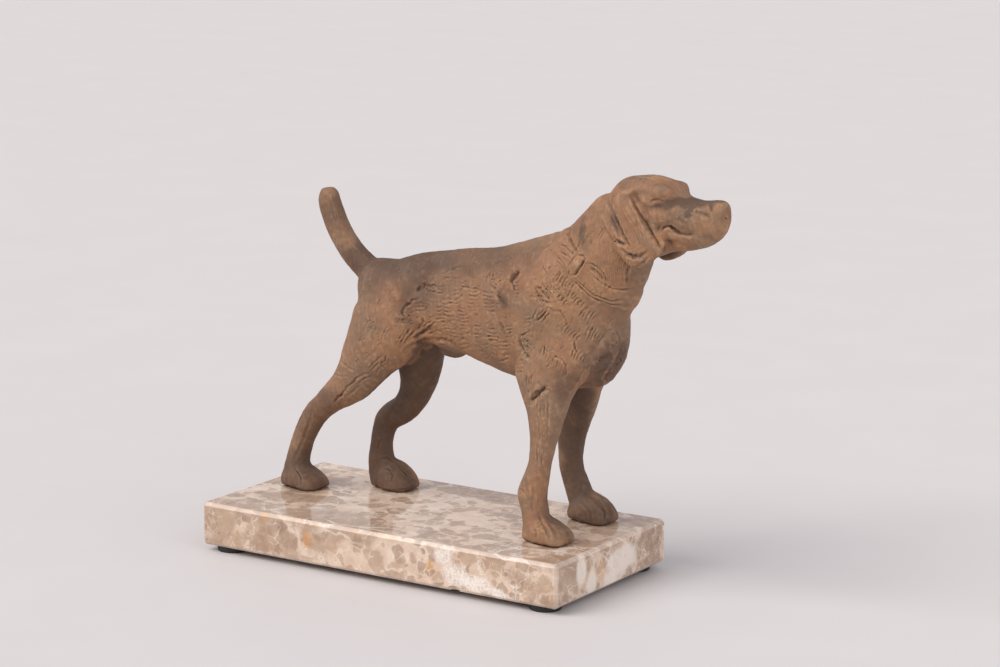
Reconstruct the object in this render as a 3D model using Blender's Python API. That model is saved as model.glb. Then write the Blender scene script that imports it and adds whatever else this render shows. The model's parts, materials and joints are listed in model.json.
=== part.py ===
"""A hunting dog in matt brown ceramic, standing on a polished marble slab with four rubber feet.

The dog is one casting: body, legs, ears, tail and collar. It is drawn in its own frame, with s
toward the nose, t toward its left side and z up from the soles, on a grid that divides its own
height, so that a change of height keeps pose, proportions and carving. The slab and its feet are
plain stock with sizes of their own.
"""

import math

import bmesh
import bpy
import numpy as np

# Driving dimensions in metres
SLAB_LENGTH = 0.200
SLAB_WIDTH = 0.099
SLAB_THICKNESS = 0.021
SLAB_ARRIS = 0.0014
FOOT_DIAMETER = 0.015
FOOT_HEIGHT = 0.003
FOOT_EDGE = 0.0006
FOOT_INSET_END = 0.0115
FOOT_INSET_SIDE = 0.0095
CONTACT_GAP = 0.0003
FIGURE_HEIGHT = 0.1727

# Place of the figure on the slab: its midpoint, off the slab's centre, and its heading
FIGURE_PLACE = (0.0, 0.010)
FIGURE_TURN = math.radians(-4.3)

# The grid of the figure's drawing: lines in its height, soles to crown
GRID_LINES = 172.7

# Fineness of the figure's surface
RING_POINTS = 28
ROWS_PER_SPAN = 5
CLAY_GRAIN = 1.05
SMOOTHING_PASSES = 7
FIGURE_TRIANGLES = 8900

NEAR, FAR = -1, 1


def across(s, low, high, half_width):
    """A section of the trunk or head at s, standing upright between two heights."""
    return (s, 0.0, (low + high) / 2, (high - low) / 2, half_width)


def level(z, rear, front, t, half_width):
    """A section of a front leg at height z, lying level between its rear and front edges."""
    return ((rear + front) / 2, t, z, (front - rear) / 2, half_width)


# Sections are (s, t, z, half depth, half width) in grid units
TRUNK = (
    across(-48, 99, 109, 6),
    across(-45, 91, 114, 10.5),
    across(-40, 85, 116.3, 14.5),
    across(-29, 82, 117, 15.5),
    across(-15, 80.5, 121.4, 14.2),
    across(0, 78, 124.6, 14),
    across(15, 76.5, 127.4, 16),
    across(32, 72.3, 129.8, 18.5),
    across(50, 69, 135.6, 20),
    across(66, 67.5, 140, 20),
    across(80, 69, 138, 18.5),
    across(92, 71.5, 129, 15.5),
    across(98.2, 77.5, 121, 11.6),
    across(101.8, 84, 112, 7.5),
)
NECK = (
    (70, 0, 100, 26, 17),
    (77.5, 0, 111.5, 26, 17.5),
    (85.1, 0, 121.8, 25.1, 16.5),
    (93.8, 0, 133.3, 22.5, 14.8),
    (101.8, 0, 145.9, 19.1, 13.2),
    (107, 0, 153, 14, 12),
)
HEAD = (
    across(97, 147, 164, 8),
    across(103, 137, 169.7, 11.5),
    across(111, 133.5, 171.6, 13.3),
    across(118, 134, 172.5, 13.6),
    across(124, 136, 171.8, 13),
    across(130, 138.5, 168.5, 11.6),
    across(136, 139.5, 164.6, 10.2),
    across(143, 141, 163.4, 9.2),
    across(149, 143, 163.8, 8.4),
    across(153.8, 146.5, 164.8, 7.2),
    across(156.7, 151, 164, 5),
)
TAIL = (
    (-38, 0, 105, 6.5, 6.5),
    (-49.5, 0, 112, 6.4, 6.4),
    (-58, 0, 119.2, 6, 6),
    (-65.3, 0, 128.5, 5.9, 5.9),
    (-70, 0, 138.5, 5.7, 5.7),
    (-71.3, 0, 144.3, 5.1, 5.1),
    (-71.8, 0, 147.4, 3, 3),
)
FRONT_LEG_NEAR = (
    level(116, 64, 84, -7, 5),
    level(106, 56, 92, -8.5, 8.5),
    level(90, 52.5, 96, -10.5, 10),
    level(78, 52, 91, -13, 9.3),
    level(69, 56.3, 86, -15.5, 7.8),
    level(58, 63, 82.7, -17.8, 6.4),
    level(46, 65.6, 79.3, -19.2, 5.6),
    level(36, 65.4, 77, -20, 5.2),
    level(26, 61.4, 76, -20.7, 5.7),
    level(20, 60.2, 75, -21, 6.2),
    level(13, 63, 76.3, -21.2, 6.5),
    level(7, 64.5, 77, -21.3, 7),
)
FRONT_LEG_FAR = (
    level(116, 62, 82, 7, 5),
    level(106, 54, 90, 8.5, 8.5),
    level(90, 51, 92, 10.5, 10),
    level(78, 54, 89, 13, 9.3),
    level(66, 55.5, 79.6, 15.8, 8),
    level(56, 54.8, 75.6, 18, 6.8),
    level(45, 53.2, 69.8, 19.8, 5.9),
    level(35, 52.6, 66.2, 21, 5.6),
    level(25, 52.8, 65.3, 22, 5.7),
    level(17, 55.5, 68.8, 22.3, 6.2),
    level(9, 58.5, 71.5, 22.5, 7),
)
HIND_LEG_NEAR = (
    (-25, -5, 110, 9, 6.5),
    (-25.5, -6.5, 101, 15.5, 10.5),
    (-28, -8, 86, 20.6, 12),
    (-37.3, -10.5, 71, 15.2, 10),
    (-46.4, -12, 56.9, 10.7, 7.6),
    (-60.9, -12.4, 45.2, 6.9, 5.8),
    (-71, -12.4, 35.5, 6.4, 5.1),
    (-77.9, -12.4, 22.5, 5.7, 5.2),
    (-81.3, -12.4, 11, 6.3, 6),
    (-82, -12.4, 4.5, 6.5, 6.3),
)
HIND_LEG_FAR = (
    (-26, 5, 110, 9, 6.5),
    (-26, 6.5, 101, 15.5, 10.5),
    (-24.3, 8, 84, 17.9, 12),
    (-22.9, 10, 66, 12.7, 9.6),
    (-25.9, 12, 53, 9.2, 7.4),
    (-32.7, 12.6, 42, 7.3, 6),
    (-44.6, 13, 34, 6.8, 5.2),
    (-48.2, 13, 24, 5.9, 5.3),
    (-49, 13, 13, 6.6, 6.2),
    (-49, 13, 5, 6.3, 6.4),
)
# Each paw: its middle s and t, and its height over the instep
PAWS = {
    "front_near": (77.1, -21.3, 12.2),
    "front_far": (71.3, 22.5, 14.3),
    "hind_near": (-76.6, -12.4, 11.8),
    "hind_far": (-40.6, 13.0, 15),
}
PAW_LENGTH = 23.2
PAW_WIDTH = 19.5

# The ear is a flap on the side of the head: root, front edge, tip and rear edge in side view
EAR_OUTLINE = (
    (107, 165),
    (115, 166.5),
    (122, 158.5),
    (128, 151),
    (132.5, 143.5),
    (130, 138.5),
    (125, 134.1),
    (119.5, 131.5),
    (114.5, 131.2),
    (109, 136.7),
    (106, 143.5),
    (104.5, 152),
    (104, 160),
)
EAR_THICKNESS = 3.6
EAR_STAND_OFF = 12.6
EAR_LEAN = 1.6

# Masses under the skin, the same on both sides: centre, then radii
MASSES = {
    "shoulder blade": ((73, 10, 112), (15, 9.6, 22)),
    "upper arm": ((63, 12.5, 90), (12, 7.6, 14)),
    "haunch": ((-24, 8.6, 97), (18, 8.4, 17)),
    "cheek": ((120, 8.6, 147), (9, 5.2, 8.5)),
}
SHEATH = ((5, 0, 76.5), (8, 3.5, 3.6))

# Pushes into the fused skin, the same on both sides: centre, reach, rise
PUSHES = {
    "brow": ((127.5, 8.2, 166.6), (9, 5.5, 4.6), 2.8),
    "eye socket": ((127.5, 11.5, 160.5), (4.2, 5, 3), -1.6),
    "hollow behind the shoulder": ((55, 19, 116), (7, 8, 9), -1.6),
    "hollow before the shoulder": ((74, 16, 117), (6, 8, 8), -1.3),
}
BREASTBONE = ((101, 0, 96), (8, 7, 14), 1.2)
BUCKLE = ((88.5, -15, 131.5), (5, 6, 6), 1.4)

# Lines cut into both sides in side view: the points, half width, depth
LINES = {
    "mouth": (((128, 150), (131, 152), (134, 153), (137, 150.3), (145, 150)), 1.3, 1.2),
    "front of the ear": (((115, 164.5), (121, 158), (128, 150.5), (133, 143)), 1.6, 1.8),
    "flank": (((-2, 110), (-10, 106), (-14, 97), (-10, 89), (0, 86)), 3.2, 1.3),
    "elbow": (((52, 104), (50, 92), (54, 80)), 3.5, 0.9),
}

# The strap lies in a plane that leans from the nape down to the throat
COLLAR_NAPE = (70.5, 139.5)
COLLAR_THROAT = (105.0, 115.0)
COLLAR_HALF_WIDTH = 4.0
COLLAR_RISE = 1.0
COLLAR_EDGE = 1.4


def catmull_rom(stations, rows_per_span):
    """Rows on a smooth curve through the stations, the end ones repeated."""
    points = np.array(stations, float)
    padded = np.vstack([2 * points[0] - points[1], points, 2 * points[-1] - points[-2]])
    rows = []
    for i in range(len(points) - 1):
        a, b, c, d = padded[i : i + 4]
        for u in np.arange(rows_per_span) / rows_per_span:
            rows.append(
                0.5
                * (
                    2 * b
                    + (c - a) * u
                    + (2 * a - 5 * b + 4 * c - d) * u**2
                    + (3 * b - a - 3 * c + d) * u**3
                )
            )
    rows.append(points[-1])
    return np.array(rows)


def unit(vectors):
    return vectors / np.linalg.norm(vectors, axis=-1, keepdims=True)


def add_tube(bm, stations, facing=None, fullness=2.0):
    """A closed body through the stations: sections face along its path, or all one way."""
    rows = catmull_rom(stations, ROWS_PER_SPAN)
    centres = rows[:, :3]
    tangents = unit(np.gradient(centres, axis=0))
    if facing is not None:
        tangents = np.tile(np.array(facing, float), (len(rows), 1))
    sideways = np.array((0.0, 1.0, 0.0))
    sideways = unit(sideways - tangents * tangents[:, 1:2])
    risings = np.cross(tangents, sideways)
    angles = np.arange(RING_POINTS) * math.tau / RING_POINTS
    rounding = 2.0 / fullness
    over = np.sign(np.sin(angles)) * np.abs(np.sin(angles)) ** rounding
    aside = np.sign(np.cos(angles)) * np.abs(np.cos(angles)) ** rounding
    previous = None
    for centre, side, rise, depth, width in zip(centres, sideways, risings, rows[:, 3], rows[:, 4]):
        ring = [
            bm.verts.new(centre + side * width * a + rise * depth * o) for a, o in zip(aside, over)
        ]
        if previous is None:
            bm.faces.new(ring)
        else:
            for i in range(RING_POINTS):
                j = (i + 1) % RING_POINTS
                bm.faces.new((previous[i], previous[j], ring[j], ring[i]))
        previous = ring
    bm.faces.new(previous)


def add_ball(bm, centre, radii):
    """An ellipsoid, for a mass of muscle or a pad."""
    made = bmesh.ops.create_uvsphere(bm, u_segments=24, v_segments=14, radius=1.0)["verts"]
    bmesh.ops.scale(bm, vec=radii, verts=made)
    bmesh.ops.translate(bm, vec=centre, verts=made)


def on_side(point, side):
    """A point given for the far side, as it lies on one side or the other."""
    return (point[0], side * point[1], point[2])


def add_ear(bm, side):
    """A flap cut to the ear's outline, standing off the skull and leaning in toward its tip."""
    outline = catmull_rom(EAR_OUTLINE + EAR_OUTLINE[:1], 3)[:-1]
    root = outline[:, 1].max()
    reach = root - outline[:, 1].min()
    faces = []
    for layer in (0.0, EAR_THICKNESS):
        ring = []
        for s, z in outline:
            hang = (root - z) / reach
            t = side * (EAR_STAND_OFF + layer - 5 * (1 - hang) ** 2 - EAR_LEAN * hang)
            ring.append(bm.verts.new((s, t, z)))
        faces.append(ring)
    inner, outer = faces
    for i in range(len(inner)):
        j = (i + 1) % len(inner)
        bm.faces.new((inner[i], inner[j], outer[j], outer[i]))
    bm.faces.new(inner)
    bm.faces.new(outer)


def add_paw(bm, place):
    """A paw: a low rounded block, higher at the heel, with four toes at its front."""
    s, t, height = place
    half = PAW_LENGTH / 2
    add_tube(
        bm,
        (
            (s - half, t, 3, 3.5, PAW_WIDTH * 0.28),
            (s - half * 0.7, t, 3.5, 6.5, PAW_WIDTH * 0.4),
            (s - half * 0.1, t, 3.2, height - 4, PAW_WIDTH * 0.5),
            (s + half * 0.5, t, 2.2, height - 5.8, PAW_WIDTH * 0.5),
            (s + half * 0.85, t, 1.6, height * 0.36, PAW_WIDTH * 0.4),
            (s + half, t, 1.2, 2.6, PAW_WIDTH * 0.26),
        ),
        facing=(1, 0, 0),
        fullness=2.3,
    )


def dog_forms():
    """Every form of the dog as overlapping closed bodies, in grid units."""
    bm = bmesh.new()
    add_tube(bm, TRUNK, facing=(1, 0, 0), fullness=2.15)
    add_tube(bm, NECK)
    add_tube(bm, HEAD, facing=(1, 0, 0), fullness=2.2)
    add_tube(bm, TAIL)
    add_tube(bm, FRONT_LEG_NEAR, facing=(0, 0, -1))
    add_tube(bm, FRONT_LEG_FAR, facing=(0, 0, -1))
    add_tube(bm, HIND_LEG_NEAR)
    add_tube(bm, HIND_LEG_FAR)
    for place in PAWS.values():
        add_paw(bm, place)
    for side in (NEAR, FAR):
        add_ear(bm, side)
        for centre, radii in MASSES.values():
            add_ball(bm, on_side(centre, side), radii)
    add_ball(bm, *SHEATH)
    return bm


def fused(bm):
    """The overlapping forms as one skin of even grain, smoothed where they meet."""
    mesh = bpy.data.meshes.new("forms")
    bm.to_mesh(mesh)
    bm.free()
    forms = bpy.data.objects.new("forms", mesh)
    bpy.context.collection.objects.link(forms)
    remesh = forms.modifiers.new("one skin", "REMESH")
    remesh.mode = "VOXEL"
    remesh.voxel_size = CLAY_GRAIN
    smooth = forms.modifiers.new("worked over", "SMOOTH")
    smooth.factor = 0.5
    smooth.iterations = SMOOTHING_PASSES
    depsgraph = bpy.context.evaluated_depsgraph_get()
    skin = bpy.data.meshes.new_from_object(forms.evaluated_get(depsgraph))
    bpy.data.objects.remove(forms)
    return skin


def falloff(points, centre, radii):
    """One at the centre, fading to nothing at the radii."""
    reach = (((points - np.array(centre)) / np.array(radii)) ** 2).sum(axis=1)
    return np.clip(1 - reach, 0, 1) ** 2


def line_distance(points, line):
    """Distance from each point to a line of (s, z) points, in side view."""
    flat = points[:, (0, 2)]
    best = np.full(len(flat), np.inf)
    for start, end in zip(line[:-1], line[1:]):
        a = np.array(start, float)
        run = np.array(end, float) - a
        share = np.clip((flat - a) @ run / (run @ run), 0, 1)
        gap = np.linalg.norm(flat - a - share[:, None] * run, axis=1)
        best = np.minimum(best, gap)
    return best


class Clay:
    """The figure's skin, worked by pushes along its normals."""

    def __init__(self, mesh):
        count = len(mesh.vertices)
        self.points = np.empty(count * 3)
        mesh.vertices.foreach_get("co", self.points)
        self.points = self.points.reshape(-1, 3)
        self.normals = np.empty(count * 3)
        mesh.vertex_normals.foreach_get("vector", self.normals)
        self.normals = self.normals.reshape(-1, 3)

    def push(self, amount):
        self.points += self.normals * amount[:, None]

    def swell(self, centre, radii, rise):
        self.push(rise * falloff(self.points, centre, radii))

    def groove(self, line, half_width, depth, side):
        """A soft-edged line cut into one side, for an edge, a fold or the mouth."""
        gap = line_distance(self.points, line)
        faces_out = np.clip(self.normals[:, 1] * side * 2, 0, 1)
        on_side = self.points[:, 1] * side > 0
        self.push(-depth * np.exp(-((gap / half_width) ** 2)) * faces_out * on_side)


def collar_band(clay):
    """The strap: a raised band where its plane crosses the neck."""
    nape = np.array(COLLAR_NAPE)
    run = np.array(COLLAR_THROAT) - nape
    normal = np.array((-run[1], run[0])) / np.linalg.norm(run)
    along = (clay.points[:, (0, 2)] - nape) @ (run / np.linalg.norm(run))
    off = np.abs((clay.points[:, (0, 2)] - nape) @ normal)
    past_neck = 2 * COLLAR_HALF_WIDTH
    on_neck = (along > -past_neck) & (along < np.linalg.norm(run) + past_neck)
    edge = np.clip((COLLAR_HALF_WIDTH - off) / COLLAR_EDGE + 0.5, 0, 1)
    clay.push(COLLAR_RISE * edge * on_neck)


def carve(mesh):
    """Muscle, brow, eyes, mouth, toes and collar, worked into the fused skin."""
    clay = Clay(mesh)
    collar_band(clay)
    clay.swell(*BUCKLE)
    for side in (NEAR, FAR):
        for centre, reach, rise in PUSHES.values():
            clay.swell(on_side(centre, side), reach, rise)
        for line, half_width, depth in LINES.values():
            clay.groove(line, half_width, depth, side)
    clay.swell(*BREASTBONE)
    mesh.vertices.foreach_set("co", clay.points.ravel())
    mesh.update()


def cut_soles(mesh, gap):
    """Flat soles, a hair above the slab, closing the cut."""
    bm = bmesh.new()
    bm.from_mesh(mesh)
    whole = bm.verts[:] + bm.edges[:] + bm.faces[:]
    cut = bmesh.ops.bisect_plane(
        bm, geom=whole, plane_co=(0, 0, gap), plane_no=(0, 0, -1), clear_outer=True
    )
    rims = [e for e in cut["geom_cut"] if isinstance(e, bmesh.types.BMEdge)]
    bmesh.ops.holes_fill(bm, edges=rims)
    bmesh.ops.recalc_face_normals(bm, faces=bm.faces)
    bmesh.ops.triangulate(bm, faces=bm.faces)
    bm.to_mesh(mesh)
    bm.free()


def material(name, colour, roughness):
    made = bpy.data.materials.new(name)
    made.use_nodes = True
    shader = made.node_tree.nodes["Principled BSDF"]
    shader.inputs["Base Color"].default_value = (*colour, 1.0)
    shader.inputs["Roughness"].default_value = roughness
    shader.inputs["Metallic"].default_value = 0.0
    return made


def add_object(name, mesh, place, finish):
    made = bpy.data.objects.new(name, mesh)
    made.location = place
    mesh.materials.clear()
    mesh.materials.append(finish)
    bpy.context.collection.objects.link(made)
    return made


def make_dog():
    skin = fused(dog_forms())
    carve(skin)
    size = FIGURE_HEIGHT / GRID_LINES
    cut_soles(skin, CONTACT_GAP / size)
    scaled = np.empty(len(skin.vertices) * 3)
    skin.vertices.foreach_get("co", scaled)
    skin.vertices.foreach_set("co", scaled * size)
    skin.shade_smooth()
    skin.name = "dog"
    place = (*FIGURE_PLACE, FOOT_HEIGHT + SLAB_THICKNESS)
    dog = add_object("dog", skin, place, material("brown matt ceramic", (0.17, 0.105, 0.068), 0.75))
    dog.rotation_euler.z = FIGURE_TURN
    coarser = dog.modifiers.new("plain facets", "DECIMATE")
    coarser.ratio = FIGURE_TRIANGLES / len(skin.polygons)
    coarser.use_collapse_triangulate = True
    return dog


def make_slab():
    mesh = bpy.data.meshes.new("marble_base")
    bm = bmesh.new()
    bmesh.ops.create_cube(bm, size=1.0)
    bmesh.ops.scale(bm, vec=(SLAB_LENGTH, SLAB_WIDTH, SLAB_THICKNESS), verts=bm.verts)
    bm.to_mesh(mesh)
    bm.free()
    place = (0, 0, FOOT_HEIGHT + SLAB_THICKNESS / 2)
    slab = add_object("marble_base", mesh, place, material("beige marble", (0.52, 0.41, 0.31), 0.25))
    arris = slab.modifiers.new("eased arris", "BEVEL")
    arris.width = SLAB_ARRIS
    arris.segments = 2
    arris.limit_method = "ANGLE"
    return slab


def make_feet():
    """Four rubber buttons under the slab's corners, set in from its ends and sides."""
    black = material("black rubber", (0.012, 0.012, 0.012), 0.8)
    reach_x = SLAB_LENGTH / 2 - FOOT_INSET_END
    reach_y = SLAB_WIDTH / 2 - FOOT_INSET_SIDE
    height = FOOT_HEIGHT - CONTACT_GAP
    feet = []
    for end, x in (("tail", -reach_x), ("head", reach_x)):
        for side, y in (("near", -reach_y), ("far", reach_y)):
            name = f"rubber_foot_{end}_{side}"
            mesh = bpy.data.meshes.new(name)
            bm = bmesh.new()
            bmesh.ops.create_cone(
                bm,
                cap_ends=True,
                segments=28,
                radius1=FOOT_DIAMETER / 2,
                radius2=FOOT_DIAMETER / 2,
                depth=height,
            )
            bm.to_mesh(mesh)
            bm.free()
            foot = add_object(name, mesh, (x, y, height / 2), black)
            rounding = foot.modifiers.new("rounded edge", "BEVEL")
            rounding.width = FOOT_EDGE
            rounding.segments = 1
            rounding.limit_method = "ANGLE"
            feet.append(foot)
    return feet


def stand_on_origin(objects):
    """Moves everything so that the origin is the middle of the footprint, on the table."""
    bpy.context.view_layer.update()
    depsgraph = bpy.context.evaluated_depsgraph_get()
    corners = []
    for made in objects:
        shape = made.evaluated_get(depsgraph)
        turn = np.array(shape.matrix_world)
        points = np.empty(len(shape.data.vertices) * 3)
        shape.data.vertices.foreach_get("co", points)
        world = points.reshape(-1, 3) @ turn[:3, :3].T + turn[:3, 3]
        corners += [world.min(axis=0), world.max(axis=0)]
    middle = (np.min(corners, axis=0) + np.max(corners, axis=0)) / 2
    for made in objects:
        made.location.x -= middle[0]
        made.location.y -= middle[1]


for leftover in list(bpy.data.objects):
    bpy.data.objects.remove(leftover)
stand_on_origin([make_dog(), make_slab(), *make_feet()])
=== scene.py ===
# %% [markdown]
# # A ceramic hunting dog on a marble slab
# The figurine is three things: a dog cast in brown clay and carved by hand before firing, a slab
# of polished brecciated marble, and four stick-on rubber feet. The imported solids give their
# places and main forms. This lesson adds the carving, the finishes, the light and the camera.

import math

import bpy
import numpy as np
from mathutils import Matrix, Vector
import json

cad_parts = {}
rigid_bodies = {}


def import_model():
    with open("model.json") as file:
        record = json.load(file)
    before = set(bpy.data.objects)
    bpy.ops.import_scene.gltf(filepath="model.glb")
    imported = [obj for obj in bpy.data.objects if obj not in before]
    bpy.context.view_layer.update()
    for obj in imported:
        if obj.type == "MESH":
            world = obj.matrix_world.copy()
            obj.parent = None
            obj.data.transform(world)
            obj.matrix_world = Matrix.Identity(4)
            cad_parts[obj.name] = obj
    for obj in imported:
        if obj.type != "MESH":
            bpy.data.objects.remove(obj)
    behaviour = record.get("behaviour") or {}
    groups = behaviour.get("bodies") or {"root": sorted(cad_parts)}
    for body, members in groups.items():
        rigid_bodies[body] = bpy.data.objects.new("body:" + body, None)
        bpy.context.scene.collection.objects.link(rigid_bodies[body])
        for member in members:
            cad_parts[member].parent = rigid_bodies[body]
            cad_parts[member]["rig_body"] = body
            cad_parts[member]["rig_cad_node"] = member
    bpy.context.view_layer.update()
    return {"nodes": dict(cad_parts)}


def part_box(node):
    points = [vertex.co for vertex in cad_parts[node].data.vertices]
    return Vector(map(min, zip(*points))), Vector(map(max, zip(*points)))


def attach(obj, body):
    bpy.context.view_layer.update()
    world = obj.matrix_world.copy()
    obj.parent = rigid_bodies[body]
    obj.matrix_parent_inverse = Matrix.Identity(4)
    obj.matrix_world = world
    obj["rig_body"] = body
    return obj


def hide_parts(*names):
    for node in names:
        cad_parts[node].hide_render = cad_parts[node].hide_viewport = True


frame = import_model()
print("solids:", sorted(frame["nodes"]))

# %% [markdown]
# ## Where things are
# The slab's top centre is the point that everything is measured from. The dog has a frame of
# its own on that slab: s runs toward its nose, t toward its left side and z up from its soles.
# It stands a little off the middle and is turned a few degrees. Carving is read in millimetres.

# %% Measure the slab and set up the dog's frame
MM = 0.001
slab_low, slab_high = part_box("marble_base")
slab_top = Vector(((slab_low.x + slab_high.x) / 2, (slab_low.y + slab_high.y) / 2, slab_high.z))
DOG_OFF_CENTRE = 10 * MM
DOG_TURN = math.radians(-4.3)
dog_origin = np.array(slab_top + Vector((0, DOG_OFF_CENTRE, 0)))
along = np.array((math.cos(DOG_TURN), math.sin(DOG_TURN), 0))
across = np.array((-math.sin(DOG_TURN), math.cos(DOG_TURN), 0))
dog_axes = np.array((along, across, (0, 0, 1)))
print("slab top centre:", tuple(round(c, 5) for c in slab_top))

# %% [markdown]
# ## The camera
# It stands in front of the dog's right shoulder, a little above its head, with a long lens. Its
# place, heading and lens were worked out from the slab's edges, which are straight and square.
# The camera comes first because the carving is drawn as it is seen from there.

# %% Place the camera
CAMERA_FROM_SLAB = Vector((0.81781, -1.23136, 0.39022))
HEADING, PITCH, ROLL = -0.5649, 0.2028, 0.0092
forward = Vector(
    (
        math.sin(HEADING) * math.cos(PITCH),
        math.cos(HEADING) * math.cos(PITCH),
        -math.sin(PITCH),
    )
)
level_right = Vector((math.cos(HEADING), -math.sin(HEADING), 0))
level_up = level_right.cross(forward)
right = level_right * math.cos(ROLL) + level_up * math.sin(ROLL)
up = level_up * math.cos(ROLL) - level_right * math.sin(ROLL)
bpy.ops.object.camera_add()
camera = bpy.context.object
camera.name = "camera"
camera.data.lens = 115.2
camera.data.sensor_width = 36
camera.matrix_world = Matrix.Translation(slab_top + CAMERA_FROM_SLAB) @ (
    Matrix((right, up, -forward)).transposed().to_4x4()
)
bpy.context.scene.camera = camera
print("camera at", tuple(round(c, 3) for c in camera.location))

# %% [markdown]
# ## Small tools
# Every operator works on what is selected, so one helper leaves a single object selected and
# active. A second adds a modifier and applies it. Two more move points between numpy arrays and
# a mesh, which is how the carving is done.

# %% Helpers for objects and meshes
def select_only(thing):
    if bpy.context.object and bpy.context.object.mode != "OBJECT":
        bpy.ops.object.mode_set(mode="OBJECT")
    bpy.ops.object.select_all(action="DESELECT")
    thing.select_set(True)
    bpy.context.view_layer.objects.active = thing


def apply_modifier(thing, kind, **settings):
    select_only(thing)
    added = thing.modifiers.new(kind.lower(), kind)
    for name, value in settings.items():
        setattr(added, name, value)
    bpy.ops.object.modifier_apply(modifier=added.name)


def read_points(mesh):
    flat = np.empty(len(mesh.vertices) * 3)
    mesh.vertices.foreach_get("co", flat)
    return flat.reshape(-1, 3)


def read_normals(mesh):
    flat = np.empty(len(mesh.vertices) * 3)
    mesh.vertex_normals.foreach_get("vector", flat)
    return flat.reshape(-1, 3)


def write_points(mesh, points):
    mesh.vertices.foreach_set("co", points.ravel())
    mesh.update()


# %% [markdown]
# ## The clay
# The solid has flat facets 3 mm wide, which real clay hasn't. A copy of it is merged, rounded by
# one subdivision and then remeshed into voxels of under half a millimetre: an even grain that
# takes a tool mark anywhere. Smoothing rubs the last facets out, as a wet sponge does.
# Multiresolution sculpting would do the same by hand, but a script can't hold the brush.

# %% Make the blank for the carving
CLAY_GRAIN = 0.42 * MM
select_only(frame["nodes"]["dog"])
bpy.ops.object.duplicate()
dog = bpy.context.object
dog.name = "hunting_dog"
bpy.ops.object.parent_clear(type="CLEAR_KEEP_TRANSFORM")
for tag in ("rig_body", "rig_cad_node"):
    del dog[tag]
bpy.ops.object.mode_set(mode="EDIT")
bpy.ops.mesh.select_all(action="SELECT")
bpy.ops.mesh.remove_doubles(threshold=0.01 * MM)
bpy.ops.mesh.customdata_custom_splitnormals_clear()
bpy.ops.object.mode_set(mode="OBJECT")
apply_modifier(dog, "SUBSURF", levels=1, render_levels=1)
apply_modifier(dog, "REMESH", mode="VOXEL", voxel_size=CLAY_GRAIN, use_smooth_shade=True)
apply_modifier(dog, "SMOOTH", factor=0.5, iterations=24)
print("blank:", len(dog.data.vertices), "points")

# %% [markdown]
# ## Tool marks
# The sculptor worked the clay with loops and points, and every mark is a furrow with a soft lip.
# Here a mark is a line on a tracing laid over the dog as the camera sees it, with s along the dog
# and z upward. A furrow lowers the points near its line along their normals and raises the clay
# beside it. A near mask keeps marks off the far legs, which are seen between the near ones, and a
# far mask does the opposite. The hidden side gets a mirrored tracing, fainter, because nobody has
# seen it. A displacement texture could do it as well, but a texture can't follow a drawn line.

# %% Lay a tracing over each side
chance = np.random.default_rng(7)
eye = (np.array(camera.location) - dog_origin) @ dog_axes.T / MM
LEGS_BELOW = 75
NEAR_LIMIT_LEGS, NEAR_LIMIT_BODY = 0.3, 3


def heading(degrees):
    """The cosine and the sine of an angle, which are one step in its direction."""
    return np.array((math.cos(math.radians(degrees)), math.sin(math.radians(degrees))))


def waves(points, shortest, longest, count):
    """A slow random swell over the points, about -1 to 1, from a sum of sine waves."""
    total = np.zeros(len(points))
    for _ in range(count):
        wave = chance.normal(0, 1, 3)
        wave *= math.tau / chance.uniform(shortest, longest) / np.linalg.norm(wave)
        total += np.sin(points @ wave + chance.uniform(0, math.tau))
    return total / math.sqrt(count)


class Figure:
    """A mesh's points in the dog's own millimetres, with a tracing laid over each side."""

    def __init__(self, mesh):
        self.points = (read_points(mesh) - dog_origin) @ dog_axes.T / MM
        self.normals = read_normals(mesh) @ dog_axes.T
        self.views = {}
        for name, sign in (("seen", 1), ("hidden", -1)):
            flipped = self.points * (1, sign, 1)
            share = eye[1] / (eye[1] - flipped[:, 1])
            tracing = eye[[0, 2]] + (flipped[:, [0, 2]] - eye[[0, 2]]) * share[:, None]
            ray = eye - flipped
            ray /= np.linalg.norm(ray, axis=1, keepdims=True)
            facing = np.clip(((self.normals * (1, sign, 1)) * ray).sum(axis=1) * 3, 0, 1)
            limit = np.where(flipped[:, 2] < LEGS_BELOW, NEAR_LIMIT_LEGS, NEAR_LIMIT_BODY)
            near = flipped[:, 1] < limit
            self.views[name] = (tracing, facing * near, facing * ~near)


print("the eye is at", eye.round(), "mm from the dog's own origin")

# %% [markdown]
# A furrow's section is a bell with a low lip on each side, and it fades toward both ends. The
# hand isn't steady: slow random waves push the tracing about and vary how hard the tool is
# pressed. A dent is the print of a thumb, and a build-up is clay laid on.

# %% Make the furrow, the dent and the build-up
FURROW_REACH = 3.2  # how far a mark acts, and where its lip stands, in half widths of the mark
LIP_HEIGHT, LIP_PLACE, LIP_WIDTH = 0.16, 1.9, 0.8
HIDDEN_STRENGTH = 0.8
SHAKE = 0.14
UNEVEN_PRESS = 0.35


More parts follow.
